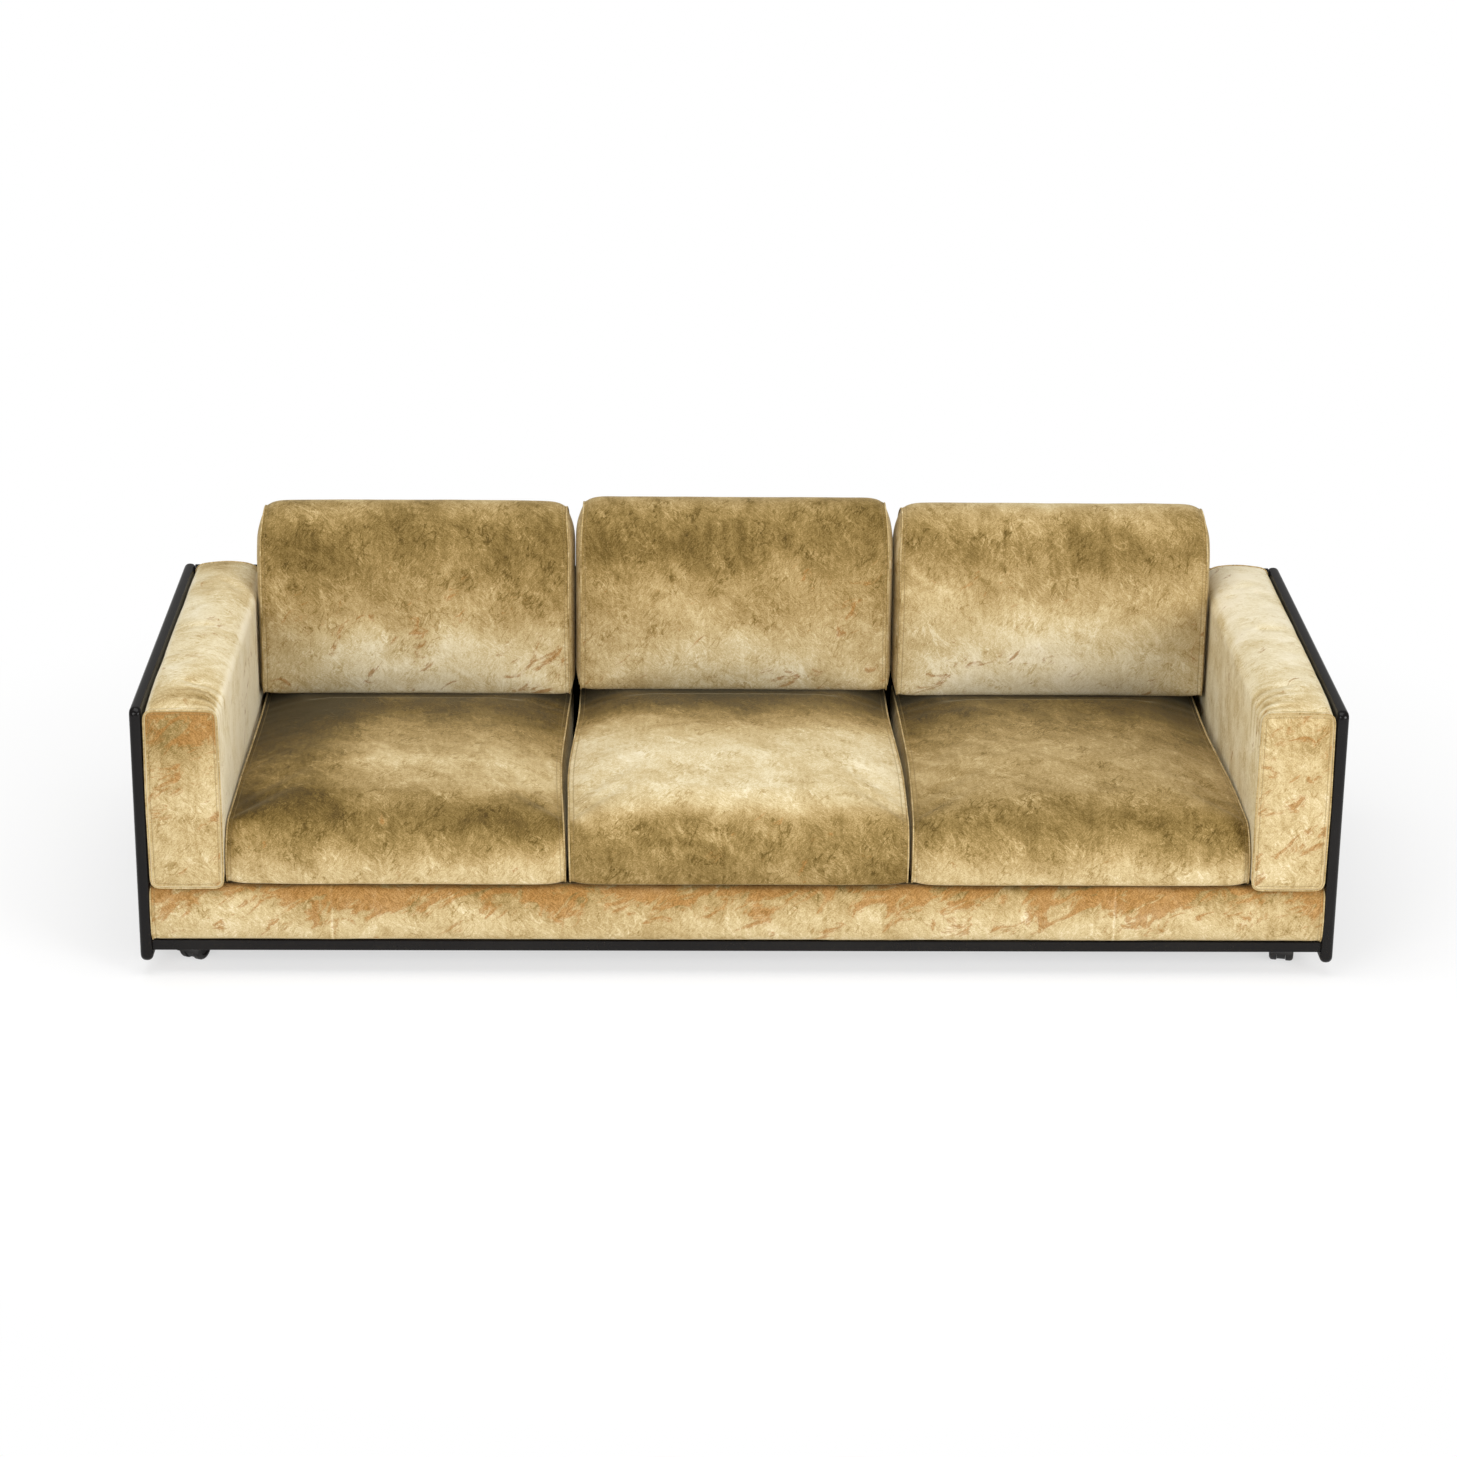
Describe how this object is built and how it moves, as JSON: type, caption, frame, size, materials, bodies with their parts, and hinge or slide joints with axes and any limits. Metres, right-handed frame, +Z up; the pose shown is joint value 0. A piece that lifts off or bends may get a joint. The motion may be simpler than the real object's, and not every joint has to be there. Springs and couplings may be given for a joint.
{
  "type": "three-seater sofa",
  "caption": "Low velvet sofa with loose seat, back and arm cushions held between black lacquered panels, standing on swivelling castors.",
  "frame": {"origin": "on the floor, under the middle of the sofa", "axes": "+X to the right along the seats, +Y to the rear, +Z up"},
  "size_m": [2.3, 0.9, 0.7225],
  "materials": {
    "black_lacquer": "black satin-gloss lacquer",
    "timber": "planed softwood",
    "webbing": "woven rubber webbing",
    "deck_cloth": "plain black deck cloth",
    "dust_cloth": "thin black lining",
    "velvet": "champagne gold pile velvet",
    "foam": "cut upholstery foam",
    "zip": "woven tape with a plastic coil",
    "steel": "zinc-plated steel",
    "castor_nylon": "black nylon"
  },
  "bodies": {
    "frame": {"back_panel": "black_lacquer", "bracket_screws": "steel", "castor_blocks": "timber", "castor_plates": "steel", "castor_screws": "steel", "corner_brackets": "steel", "deck_cloth": "deck_cloth", "dust_cover": "dust_cloth", "front_border": "velvet", "panel_bolts": "steel", "platform_cross_rails": "timber", "platform_end_rail_left": "timber", "platform_end_rail_right": "timber", "platform_front_rail": "timber", "platform_rear_rail": "timber", "plinth_rail": "black_lacquer", "plinth_screws": "steel", "seat_webbing": "webbing", "side_panel_left": "black_lacquer", "side_panel_right": "black_lacquer"},
    "seat_left": {"seat_cover_left": "velvet", "seat_core_left": "foam", "seat_zip_left": "zip"},
    "back_left": {"back_cover_left": "velvet", "back_core_left": "foam", "back_zip_left": "zip"},
    "seat_middle": {"seat_cover_middle": "velvet", "seat_core_middle": "foam", "seat_zip_middle": "zip"},
    "back_middle": {"back_cover_middle": "velvet", "back_core_middle": "foam", "back_zip_middle": "zip"},
    "seat_right": {"seat_cover_right": "velvet", "seat_core_right": "foam", "seat_zip_right": "zip"},
    "back_right": {"back_cover_right": "velvet", "back_core_right": "foam", "back_zip_right": "zip"},
    "arm_left": {"arm_cover_left": "velvet", "arm_core_left": "foam"},
    "arm_right": {"arm_cover_right": "velvet", "arm_core_right": "foam"},
    "castor_front_left": {"castor_hood_front_left": "castor_nylon", "castor_axle_front_left": "steel"},
    "wheel_left_front_left": {"castor_wheel_left_front_left": "castor_nylon"},
    "wheel_right_front_left": {"castor_wheel_right_front_left": "castor_nylon"},
    "castor_front_right": {"castor_hood_front_right": "castor_nylon", "castor_axle_front_right": "steel"},
    "wheel_left_front_right": {"castor_wheel_left_front_right": "castor_nylon"},
    "wheel_right_front_right": {"castor_wheel_right_front_right": "castor_nylon"},
    "castor_rear_left": {"castor_hood_rear_left": "castor_nylon", "castor_axle_rear_left": "steel"},
    "wheel_left_rear_left": {"castor_wheel_left_rear_left": "castor_nylon"},
    "wheel_right_rear_left": {"castor_wheel_right_rear_left": "castor_nylon"},
    "castor_rear_right": {"castor_hood_rear_right": "castor_nylon", "castor_axle_rear_right": "steel"},
    "wheel_left_rear_right": {"castor_wheel_left_rear_right": "castor_nylon"},
    "wheel_right_rear_right": {"castor_wheel_right_rear_right": "castor_nylon"}
  },
  "joints": [
    {"name": "seat_left_pull", "type": "slide", "parent": "frame", "child": "seat_left", "axis": [0, -1, 0], "range_m": [0, 0.88]},
    {"name": "back_left_lift", "type": "slide", "parent": "frame", "child": "back_left", "axis": [0, 0, 1], "range_m": [0, 0.4]},
    {"name": "seat_middle_pull", "type": "slide", "parent": "frame", "child": "seat_middle", "axis": [0, -1, 0], "range_m": [0, 0.88]},
    {"name": "back_middle_lift", "type": "slide", "parent": "frame", "child": "back_middle", "axis": [0, 0, 1], "range_m": [0, 0.4]},
    {"name": "seat_right_pull", "type": "slide", "parent": "frame", "child": "seat_right", "axis": [0, -1, 0], "range_m": [0, 0.88]},
    {"name": "back_right_lift", "type": "slide", "parent": "frame", "child": "back_right", "axis": [0, 0, 1], "range_m": [0, 0.4]},
    {"name": "arm_left_lift", "type": "slide", "parent": "frame", "child": "arm_left", "axis": [0, 0, 1], "range_m": [0, 0.38]},
    {"name": "arm_right_lift", "type": "slide", "parent": "frame", "child": "arm_right", "axis": [0, 0, 1], "range_m": [0, 0.38]},
    {"name": "castor_front_left_swivel", "type": "hinge", "parent": "frame", "child": "castor_front_left", "pos_m": [-1.063, -0.37, 0.057], "axis": [0, 0, 1], "continuous": true},
    {"name": "wheel_left_front_left_roll", "type": "hinge", "parent": "castor_front_left", "child": "wheel_left_front_left", "pos_m": [-1.05599, -0.35562, 0.025], "axis": [0.8988, -0.4384, 0], "continuous": true},
    {"name": "wheel_right_front_left_roll", "type": "hinge", "parent": "castor_front_left", "child": "wheel_right_front_left", "pos_m": [-1.05599, -0.35562, 0.025], "axis": [0.8988, -0.4384, 0], "continuous": true},
    {"name": "castor_front_right_swivel", "type": "hinge", "parent": "frame", "child": "castor_front_right", "pos_m": [1.063, -0.37, 0.057], "axis": [0, 0, 1], "continuous": true},
    {"name": "wheel_left_front_right_roll", "type": "hinge", "parent": "castor_front_right", "child": "wheel_left_front_right", "pos_m": [1.06605, -0.35429, 0.025], "axis": [0.9816, -0.1908, 0], "continuous": true},
    {"name": "wheel_right_front_right_roll", "type": "hinge", "parent": "castor_front_right", "child": "wheel_right_front_right", "pos_m": [1.06605, -0.35429, 0.025], "axis": [0.9816, -0.1908, 0], "continuous": true},
    {"name": "castor_rear_left_swivel", "type": "hinge", "parent": "frame", "child": "castor_rear_left", "pos_m": [-1.063, 0.371, 0.057], "axis": [0, 0, 1], "continuous": true},
    {"name": "wheel_left_rear_left_roll", "type": "hinge", "parent": "castor_rear_left", "child": "wheel_left_rear_left", "pos_m": [-1.06794, 0.38622, 0.025], "axis": [0.9511, 0.309, 0], "continuous": true},
    {"name": "wheel_right_rear_left_roll", "type": "hinge", "parent": "castor_rear_left", "child": "wheel_right_rear_left", "pos_m": [-1.06794, 0.38622, 0.025], "axis": [0.9511, 0.309, 0], "continuous": true},
    {"name": "castor_rear_right_swivel", "type": "hinge", "parent": "frame", "child": "castor_rear_right", "pos_m": [1.063, 0.371, 0.057], "axis": [0, 0, 1], "continuous": true},
    {"name": "wheel_left_rear_right_roll", "type": "hinge", "parent": "castor_rear_right", "child": "wheel_left_rear_right", "pos_m": [1.05405, 0.38427, 0.025], "axis": [0.829, 0.5592, 0], "continuous": true},
    {"name": "wheel_right_rear_right_roll", "type": "hinge", "parent": "castor_rear_right", "child": "wheel_right_rear_right", "pos_m": [1.05405, 0.38427, 0.025], "axis": [0.829, 0.5592, 0], "continuous": true}
  ]
}
